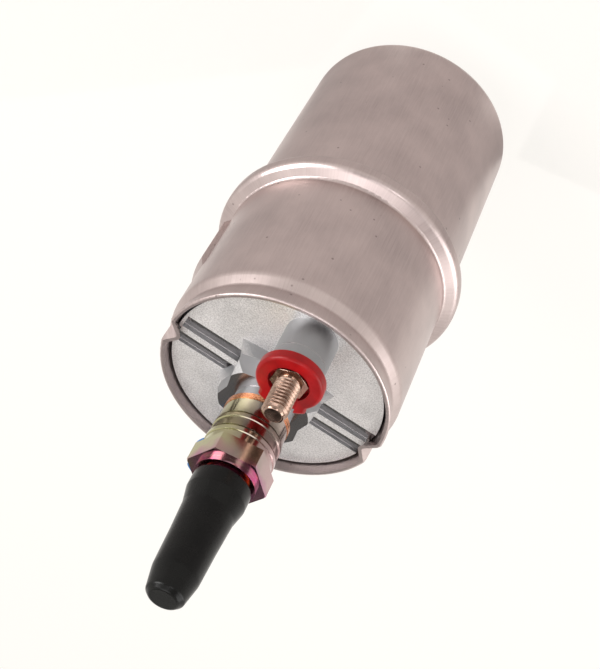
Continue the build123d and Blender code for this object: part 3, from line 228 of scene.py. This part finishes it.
def worked_metal(name, dark, light, roughness, grain, depth=0.01, stretch=(1, 1, 1)):
    """A machined, plated or drawn metal: two near tones in a grain whose size is in millimetres."""
    made, tree, shader = finish(name, light, roughness, 1.0)
    place = add(tree, "TexCoord").outputs["Object"]
    spread = add(tree, "Mapping", {"Vector": place, "Scale": [s / (grain * MM) for s in stretch]})
    noise = add(tree, "TexNoise", {"Vector": spread.outputs[0], "Scale": 1.0, "Detail": 3.0})
    mottle = add(tree, "MapRange", {"Value": noise.outputs["Fac"], "From Min": 0.3, "From Max": 0.7})
    base = add(tree, "Mix", {"Factor": mottle.outputs[0], COLOUR_A: linear(dark),
                             COLOUR_B: linear(light)}, data_type="RGBA")
    dull = add(tree, "MapRange", {"Value": noise.outputs["Fac"], "From Min": 0.3, "From Max": 0.7,
                                  "To Min": roughness * 0.8, "To Max": roughness * 1.25})
    relief = add(tree, "Bump", {"Height": noise.outputs["Fac"], "Strength": 0.4, "Distance": depth * MM})
    tree.links.new(base.outputs[COLOUR_OUT], shader.inputs["Base Color"])
    tree.links.new(dull.outputs[0], shader.inputs["Roughness"])
    tree.links.new(relief.outputs[0], shader.inputs["Normal"])
    return made


def moulded(name, dark, light, roughness, grain=0.25, depth=0.01, **sockets):
    """A moulded plastic or rubber: an even colour, with a fine skin and a little dust."""
    made, tree, shader = finish(name, light, roughness, 0.0, **sockets)
    place = add(tree, "TexCoord").outputs["Object"]
    skin = add(tree, "TexNoise", {"Vector": place, "Scale": 1 / (grain * MM), "Detail": 2.0})
    # Dust and handling in clouds 4 across.
    cloud = add(tree, "TexNoise", {"Vector": place, "Scale": 1 / (4 * MM), "Detail": 4.0})
    tone = add(tree, "MapRange", {"Value": cloud.outputs["Fac"], "From Min": 0.35, "From Max": 0.65})
    base = add(tree, "Mix", {"Factor": tone.outputs[0], COLOUR_A: linear(dark),
                             COLOUR_B: linear(light)}, data_type="RGBA")
    dull = add(tree, "MapRange", {"Value": cloud.outputs["Fac"], "From Min": 0.3, "From Max": 0.7,
                                  "To Min": roughness * 0.85, "To Max": roughness * 1.2})
    relief = add(tree, "Bump", {"Height": skin.outputs["Fac"], "Strength": 0.3, "Distance": depth * MM})
    tree.links.new(base.outputs[COLOUR_OUT], shader.inputs["Base Color"])
    tree.links.new(dull.outputs[0], shader.inputs["Roughness"])
    tree.links.new(relief.outputs[0], shader.inputs["Normal"])
    return made


def yellow_chromate():
    """Zinc plate under a yellow chromate film: olive on one side, a painted rose reflection on the other,
    and a painted magenta and gold reflection towards the cap, over the fine rings that the turning left."""
    made, tree, shader = finish("yellow_chromated_zinc", "#C4B59A", 0.17, 1.0)
    place = add(tree, "TexCoord").outputs["Object"]
    apart = add(tree, "SeparateXYZ", {"Vector": place})
    # The film's thickness wanders over 9 mm, and shifts where each tint begins.
    film = add(tree, "TexNoise", {"Vector": place, "Scale": 1 / (9 * MM), "Detail": 2.0})
    wander = add(tree, "MapRange", {"Value": film.outputs["Fac"], "From Min": 0.3, "From Max": 0.7,
                                    "To Min": -2.5 * MM, "To Max": 2.5 * MM})
    across = add(tree, "Math", {0: apart.outputs["X"], 1: wander.outputs[0]}, operation="ADD")
    up = add(tree, "Math", {0: apart.outputs["Z"], 1: wander.outputs[0]}, operation="ADD")
    # Each tint by its place, from where it begins to where it is full, and how strong it is there.
    # The rose tint, and the magenta and gold near the cap, are painted reflections.
    tints_and_reflections = (("#B0AC88", across, 2, 8, 1.0),
             ("#BFA2A2", across, -2, -8, 1.0),
             ("#B0688F", up, OUTLET_FOOT - 3, OUTLET_FOOT, 0.85),
             ("#D08C3C", up, OUTLET_FOOT, OUTLET_FOOT + 2.5, 0.9))
    tinted_and_reflected = linear("#958A80")
    for tint, way, begin, full, strength in tints_and_reflections:
        amount = add(tree, "MapRange", {"Value": way.outputs[0], "From Min": begin * MM,
                                        "From Max": full * MM, "To Max": strength})
        step = add(tree, "Mix", {"Factor": amount.outputs[0], COLOUR_A: tinted_and_reflected,
                                 COLOUR_B: linear(tint)}, data_type="RGBA")
        tinted_and_reflected = step.outputs[COLOUR_OUT]
    # Rings 0.12 apart, and 1.5 before one fades.
    turning = add(tree, "Mapping", {"Vector": place,
                                    "Scale": (1 / (1.5 * MM), 1 / (1.5 * MM), 1 / (0.12 * MM))})
    lines = add(tree, "TexNoise", {"Vector": turning.outputs[0], "Scale": 1.0, "Detail": 2.0})
    relief = add(tree, "Bump", {"Height": lines.outputs["Fac"], "Strength": 0.25, "Distance": 0.01 * MM})
    tree.links.new(tinted_and_reflected, shader.inputs["Base Color"])
    tree.links.new(relief.outputs[0], shader.inputs["Normal"])
    return made


FINISHES = {
    "can_steel": drawn_steel(),
    "cast_alloy": die_cast(),
    # Bright and even, with fine grinding lines that run on along Y.
    "ground_steel": worked_metal("ground_steel", "#9A9A9C", "#BDBDBF", 0.25, 0.15,
                                 stretch=(1, 0.05, 1)),
    # Smooth and a little blue, as wire comes from the die.
    "spring_steel": worked_metal("drawn_spring_wire", "#7E7F84", "#A4A5A9", 0.3, 0.2),
    # Nearly black, and satin from its oiled oxide.
    "black_steel": worked_metal("black_oxide_steel", "#2A2A2C", "#3E3D40", 0.45, 0.4),
    # Pale and faintly yellow, with the soft spangle of a plating.
    "zinc_steel": worked_metal("zinc_plated_steel", "#A5A6A2", "#C4C5BF", 0.35, 1.2),
    # Grey sheets edge on, in fine level layers under their varnish.
    "laminations": worked_metal("varnished_laminations", "#4D4E52", "#85868B", 0.4, 0.5, 0.04,
                                (0.02, 0.02, 1)),
    # Charcoal, dull and a little rough from grinding.
    "magnet_ferrite": moulded("ground_ferrite", "#232326", "#36363A", 0.55, 0.4, 0.02),
    # Reddish brown and glossy, in upright strands one wire wide.
    "winding_copper": worked_metal("enamelled_copper_wire", "#8E3F1B", "#C4713B", 0.28, 0.9, 0.06,
                                   (1, 1, 0.1)),
    # Pink and bright, as soft sheet is stamped.
    "copper": worked_metal("bare_copper", "#C07850", "#E0A27C", 0.28, 0.5),
    # Yellow and bright, from rolled strip.
    "brass": worked_metal("stamped_brass", "#B8934B", "#D9B978", 0.3, 0.6),
    # Brown and porous, with a fine dull grain.
    "sintered_bronze": worked_metal("sintered_bronze", "#6E5230", "#A8854F", 0.5, 0.12, 0.03),
    # Black with a soft grey sheen, from pressed powder.
    "carbon": moulded("pressed_carbon", "#161616", "#2B2B2B", 0.5, 0.2, 0.02),
    # Black and satin, with a faint skin from the mould.
    "black_moulding": moulded("black_glass_filled_nylon", "#121214", "#1E1E21", 0.45),
    # Cream and slightly waxy.
    "natural_moulding": moulded("natural_acetal", "#D2CCBC", "#E2DDD0", 0.4),
    # A deep, even red with a soft shine.
    "red_moulding": moulded("red_nylon", "#80060A", "#9A090E", 0.34, Specular_IOR_Level=0.25),
    # A clear mid blue with the same soft shine.
    "blue_moulding": moulded("blue_nylon", "#155E98", "#1E74B0", 0.34, Specular_IOR_Level=0.25),
    # Coppery where the thin nickel has worn, silver in the light.
    "stud_plating": worked_metal("nickel_plated_copper", "#8F7568", "#B89D8D", 0.24, 2.5, 0.001),
    "yellow_zinc": yellow_chromate(),
    # Black and dull, as moulded rings are.
    "seal_rubber": moulded("moulded_nitrile", "#101010", "#1A1A1A", 0.5),
    # Deep black, smooth and softly shining from the dip.
    "cap_rubber": moulded("dip_moulded_vinyl", "#050505", "#0A0A09", 0.26, 0.5, 0.01,
                          Specular_IOR_Level=0.2),
}
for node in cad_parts.values():
    for place, old in enumerate(node.data.materials):
        node.data.materials[place] = FINISHES[old.name.split(".")[0]]


# Pieces

def place_mesh(name, shape, slot=None):
    """Make an object of a bmesh, smooth but for its sharp edges, with the finish of a material slot."""
    for face in shape.faces:
        face.smooth = True
    for edge in shape.edges:
        edge.smooth = edge.calc_face_angle(0.0) < SHARP_EDGE
    mesh = bpy.data.meshes.new(name)
    shape.to_mesh(mesh)
    shape.free()
    # The normals stored with a copied solid belong to its old faces.
    if "custom_normal" in mesh.attributes:
        mesh.attributes.remove(mesh.attributes["custom_normal"])
    piece = bpy.data.objects.new(name, mesh)
    bpy.context.scene.collection.objects.link(piece)
    mesh.materials.clear()
    if slot:
        mesh.materials.append(FINISHES[slot])
    return piece


def merged_copy(node):
    """The CAD node's shape as one closed mesh, with its flat faces whole."""
    shape = bmesh.new()
    shape.from_mesh(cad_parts[node].data)
    bmesh.ops.remove_doubles(shape, verts=shape.verts, dist=0.002 * MM)
    bmesh.ops.dissolve_limit(shape, angle_limit=math.radians(0.4), verts=shape.verts, edges=shape.edges)
    return shape


def ease_edges(piece, width, segments=2):
    """Break the sharp edges, as tumbling, moulding or plating leaves them."""
    ease = piece.modifiers.new("broken_edges", "BEVEL")
    ease.width = width * MM
    ease.segments = segments
    ease.limit_method = "ANGLE"
    ease.angle_limit = SHARP_EDGE
    flat = piece.modifiers.new("flat_faces", "WEIGHTED_NORMAL")
    flat.keep_sharp = True


def add_thread(shape, centre, root, crest, pitch, bottom, top, steps=36):
    """Wind a ridge of thread round an upright axis, from one height to another. The crest lies
    outside the root on a shank, and inside it in a bore."""
    half = 0.49 * pitch
    flat = 0.06 * pitch
    buried = root + 0.2 if crest < root else root - 0.2
    tooth = [(root, -half), (crest, -flat), (crest, flat), (root, half), (buried, 0)]
    corners = [shape.verts.new((centre[0] + r * MM, centre[1], (bottom + z) * MM)) for r, z in tooth]
    face = shape.faces.new(corners)
    turns = (top - bottom) / pitch
    count = round(turns * steps)
    bmesh.ops.spin(shape, geom=[face], cent=(centre[0], centre[1], 0), axis=(0, 0, 1),
                   dvec=(0, 0, (top - bottom) * MM / count), angle=2 * math.pi * turns, steps=count)


def draw_in(shape, centre, low, high, reach):
    """Pull every point between two heights in to the radius that reach gives for its height."""
    for vert in shape.verts:
        height = vert.co.z / MM
        if low < height < high:
            out = Vector((vert.co.x - centre[0], vert.co.y - centre[1]))
            limit = reach(height) * MM
            if out.length > limit:
                vert.co.x = centre[0] + out.x * limit / out.length
                vert.co.y = centre[1] + out.y * limit / out.length


def make_stud(node, side):
    """A terminal stud: rolled M6 thread above a hexagonal collar, with a bevelled tip."""
    centre = (0.0, side * TERMINAL_OFFSET * MM)
    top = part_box(node)[1].z / MM
    foot = top - STUD_LENGTH
    shape = merged_copy(node)
    tip = STUD_TIP_RADIUS - 2 * SINK
    draw_in(shape, centre, foot + 0.2, top + 1, lambda height: min(STUD_ROOT, tip + top - height))
    # The shank's foot on the collar goes in to the root with the rest.
    for vert in shape.verts:
        out = vert.co.xy - Vector(centre)
        if abs(vert.co.z / MM - foot) < NEAR and out.length < (STUD_RADIUS + SINK) * MM:
            vert.co.xy = Vector(centre) + out * STUD_ROOT / STUD_RADIUS
    add_thread(shape, centre, root=STUD_ROOT - SINK, crest=STUD_RADIUS, pitch=STUD_PITCH,
               bottom=foot + 0.1, top=top - 0.3)
    # The ridge's last turn is bevelled at 45 degrees, as the bar was before rolling.
    draw_in(shape, centre, top - 1.2, top + NEAR, lambda height: STUD_TIP_RADIUS + top - height)
    bmesh.ops.recalc_face_normals(shape, faces=shape.faces)
    piece = place_mesh(node + "_threaded", shape, "stud_plating")
    ease_edges(piece, width=0.06, segments=1)
    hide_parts(node)
    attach(piece, "housing")


def make_insulator(node, side, slot):
    """A moulded insulating cup: well rounded outside, with broken edges round the lead's opening."""
    centre = Vector((0.0, side * TERMINAL_OFFSET * MM))
    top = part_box(node)[1].z
    shape = merged_copy(node)
    rim = [edge for edge in shape.edges
           if all(abs(v.co.z - top) < NEAR * MM for v in edge.verts)
           and all((v.co.xy - centre).length > CUP_INNER_RADIUS * MM for v in edge.verts)
           and edge.calc_face_angle(0.0) > math.radians(45)]
    bmesh.ops.bevel(shape, geom=rim, offset=CUP_ROUND * MM, segments=4, profile=0.5, affect="EDGES",
                    material=-1)
    piece = place_mesh(node + "_moulding", shape, slot)
    ease_edges(piece, width=0.12)
    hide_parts(node)
    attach(piece, "housing")


def make_valve():
    """The outlet valve's body: turned, with a rolled M12 x 1.5 thread for the union under the cap."""
    shape = merged_copy("valve_body")
    draw_in(shape, AXIS, OUTLET_FOOT + 0.8, OUTLET_END - 1, lambda height: OUTLET_ROOT)
    add_thread(shape, AXIS, root=OUTLET_ROOT - SINK, crest=OUTLET_RADIUS, pitch=OUTLET_PITCH,
               bottom=OUTLET_FOOT + 1.1, top=OUTLET_END - 1.3, steps=48)
    # Both ends of the thread run out at 45 degrees.
    draw_in(shape, AXIS, OUTLET_FOOT, OUTLET_END,
            lambda height: min(OUTLET_RADIUS, OUTLET_FOOT_RADIUS + height - OUTLET_FOOT,
                               OUTLET_END_RADIUS + OUTLET_END - height))
    bmesh.ops.recalc_face_normals(shape, faces=shape.faces)
    piece = place_mesh("valve_body_turned", shape, "yellow_zinc")
    ease_edges(piece, width=0.1)
    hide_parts("valve_body")
    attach(piece, "housing")


def make_cover():
    """The cast end cover, with the narrow radii along its edges that catch the light."""
    piece = place_mesh("end_cover_casting", merged_copy("end_cover"), "cast_alloy")
    ease_edges(piece, width=0.2)
    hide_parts("end_cover")
    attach(piece, "housing")


def make_inlet():
    """The inlet casting, with its port tapped M18 x 1.5, which is seen from underneath."""
    shape = merged_copy("inlet_cover")
    # The bore opens to the thread's root, and the ridge then stands in from it.
    for vert in shape.verts:
        out = vert.co.xy.length
        if abs(out - INLET_CREST * MM) < 2 * NEAR * MM and INLET_FOOT * MM < vert.co.z < INLET_DEPTH * MM:
            vert.co.xy = vert.co.xy * INLET_RADIUS / INLET_CREST
    add_thread(shape, AXIS, root=INLET_RADIUS, crest=INLET_CREST, pitch=INLET_PITCH,
               bottom=INLET_FOOT, top=INLET_END, steps=40)
    # The mouth is countersunk at 45 degrees.
    for vert in shape.verts:
        out = vert.co.xy.length
        mouth = INLET_MOUTH_RADIUS * MM - vert.co.z
        if INLET_CLEAR_RADIUS * MM < out < mouth:
            vert.co.xy = vert.co.xy * mouth / out
    bmesh.ops.recalc_face_normals(shape, faces=shape.faces)
    piece = place_mesh("inlet_cover_tapped", shape, "cast_alloy")
    ease_edges(piece, width=0.1, segments=1)
    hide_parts("inlet_cover")
    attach(piece, "housing")


make_cover()
make_inlet()
make_stud("positive_stud", -1)
make_stud("negative_stud", 1)
make_insulator("positive_insulator", -1, "red_moulding")
make_insulator("negative_insulator", 1, "blue_moulding")
make_valve()


# Floor, light and camera

def make_floor():
    """White paper: it shows plain white to the eye and in reflections, with a faint shadow."""
    shape = bmesh.new()
    bmesh.ops.create_circle(shape, cap_ends=True, segments=96, radius=3.0)
    floor = place_mesh("floor", shape)
    made, tree, shader = finish("paper_floor", "#FFFBF6", 0.8)
    path = add(tree, "LightPath")
    seen = add(tree, "Math", {0: path.outputs["Is Camera Ray"], 1: path.outputs["Is Glossy Ray"]},
               operation="ADD")
    through = add(tree, "Math", {0: seen.outputs[0], 1: path.outputs["Is Transmission Ray"]},
                  operation="ADD", use_clamp=True)
    # Most of the look is the paper's own white. The rest is lit by the lamps, so the shadow stays.
    own_white = 0.88
    part = add(tree, "Math", {0: through.outputs[0], 1: own_white}, operation="MULTIPLY")
    glow = add(tree, "Emission", {"Color": linear("#FFFCF7"), "Strength": 1.0})
    mixed = add(tree, "MixShader", {"Fac": part.outputs[0], 1: shader.outputs[0], 2: glow.outputs[0]})
    tree.links.new(mixed.outputs[0], tree.nodes["Material Output"].inputs["Surface"])
    floor.data.materials.append(made)


# The grey card's outline on the floor: it runs round the front of the can's foot.
CARD_OUTLINE = ((-600, -130), (-34, -4), (-28, -34), (28, -34),
                (34, 10), (420, 400), (600, -600), (-600, -600))
CARD_HEIGHT = 0.5


def make_card():
    """A grey card on the floor before the pump, which only its reflections show, as a studio flag."""
    shape = bmesh.new()
    shape.faces.new([shape.verts.new((x * MM, y * MM, CARD_HEIGHT * MM)) for x, y in CARD_OUTLINE])
    bmesh.ops.triangulate(shape, faces=shape.faces)
    card = place_mesh("grey_card", shape)
    made, tree, shader = finish("grey_card", "#B4B0AE", 0.9)
    card.data.materials.append(made)
    card.visible_camera = False
    card.visible_shadow = False


# The direction that the cover's flat faces mirror, as seen from the photograph's viewpoint.
DOORWAY = (-0.097, 0.723, 0.684)


def make_world():
    """A pale room: white to 17 degrees up, grey from 33, white again behind the pump, with one dark
    doorway there, which the smooth faces of the cover mirror and the blasted ones blur away."""
    world = bpy.data.worlds.new("studio")
    bpy.context.scene.world = world
    world.use_nodes = True
    tree = world.node_tree
    way = add(tree, "TexCoord").outputs["Generated"]
    apart = add(tree, "SeparateXYZ", {"Vector": way})
    low = add(tree, "MapRange", {"Value": apart.outputs["Z"], "From Min": 0.3, "From Max": 0.55,
                                 "To Min": 1.0, "To Max": 0.0}, interpolation_type="SMOOTHSTEP")
    behind = add(tree, "MapRange", {"Value": apart.outputs["Y"], "From Min": 0.1, "From Max": 0.4},
                 interpolation_type="SMOOTHSTEP")
    pale = add(tree, "Math", {0: low.outputs[0], 1: behind.outputs[0]}, operation="MAXIMUM")
    near = add(tree, "VectorMath", {0: way, 1: DOORWAY}, operation="DOT_PRODUCT")
    # The doorway is dark to 12 degrees off its middle, and its edge is soft to 17.
    door = add(tree, "MapRange", {"Value": near.outputs["Value"], "From Min": math.cos(math.radians(17)),
                                  "From Max": math.cos(math.radians(12)), "To Min": 1.0, "To Max": 0.12})
    sky = add(tree, "Mix", {"Factor": pale.outputs[0], COLOUR_A: linear("#A39E9B"),
                            COLOUR_B: linear("#FFFCF7")}, data_type="RGBA")
    tree.links.new(sky.outputs[COLOUR_OUT], tree.nodes["Background"].inputs["Color"])
    tree.links.new(door.outputs[0], tree.nodes["Background"].inputs["Strength"])


def make_lamp(name, where, size, power, target=(0, 0, 0.1)):
    """A soft box, turned to the middle of the pump. Its place and side are metres, its power watts."""
    lamp = bpy.data.lights.new(name, "AREA")
    lamp.shape = "RECTANGLE"
    lamp.size = size
    lamp.size_y = size
    lamp.energy = power
    holder = bpy.data.objects.new(name, lamp)
    bpy.context.scene.collection.objects.link(holder)
    aim = Vector(target) - Vector(where)
    holder.matrix_world = Matrix.Translation(where) @ aim.to_track_quat("-Z", "Y").to_matrix().to_4x4()


def make_camera():
    """The photograph's viewpoint: above the outlet end, looking down along the can, tilted over."""
    lens = bpy.data.cameras.new("camera")
    lens.lens = 66.88
    lens.sensor_width = 36.0
    lens.clip_start = 0.01
    camera = bpy.data.objects.new("camera", lens)
    bpy.context.scene.collection.objects.link(camera)
    right = Vector((-0.83641, -0.43169, -0.33774))
    up = Vector((0.53948, -0.53948, -0.64647))
    back = Vector((0.09687, -0.72291, 0.68411))
    stand = Vector((30.312, -224.516, 322.185)) * MM
    turn = Matrix((right, up, back)).transposed()
    camera.matrix_world = Matrix.Translation(stand) @ turn.to_4x4()
    bpy.context.scene.camera = camera


make_camera()
make_floor()
make_card()
make_world()
make_lamp("right_softbox", where=(0.75, -0.2, 0.6), size=0.5, power=7.0)
make_lamp("left_softbox", where=(-0.75, -0.1, 0.5), size=0.7, power=4.5)
make_lamp("front_softbox", where=(-0.1, -0.75, 0.85), size=0.3, power=1.5)
make_lamp("top_softbox", where=(0.1, -0.1, 0.95), size=0.5, power=2.0)
bpy.context.scene.view_settings.view_transform = "Standard"
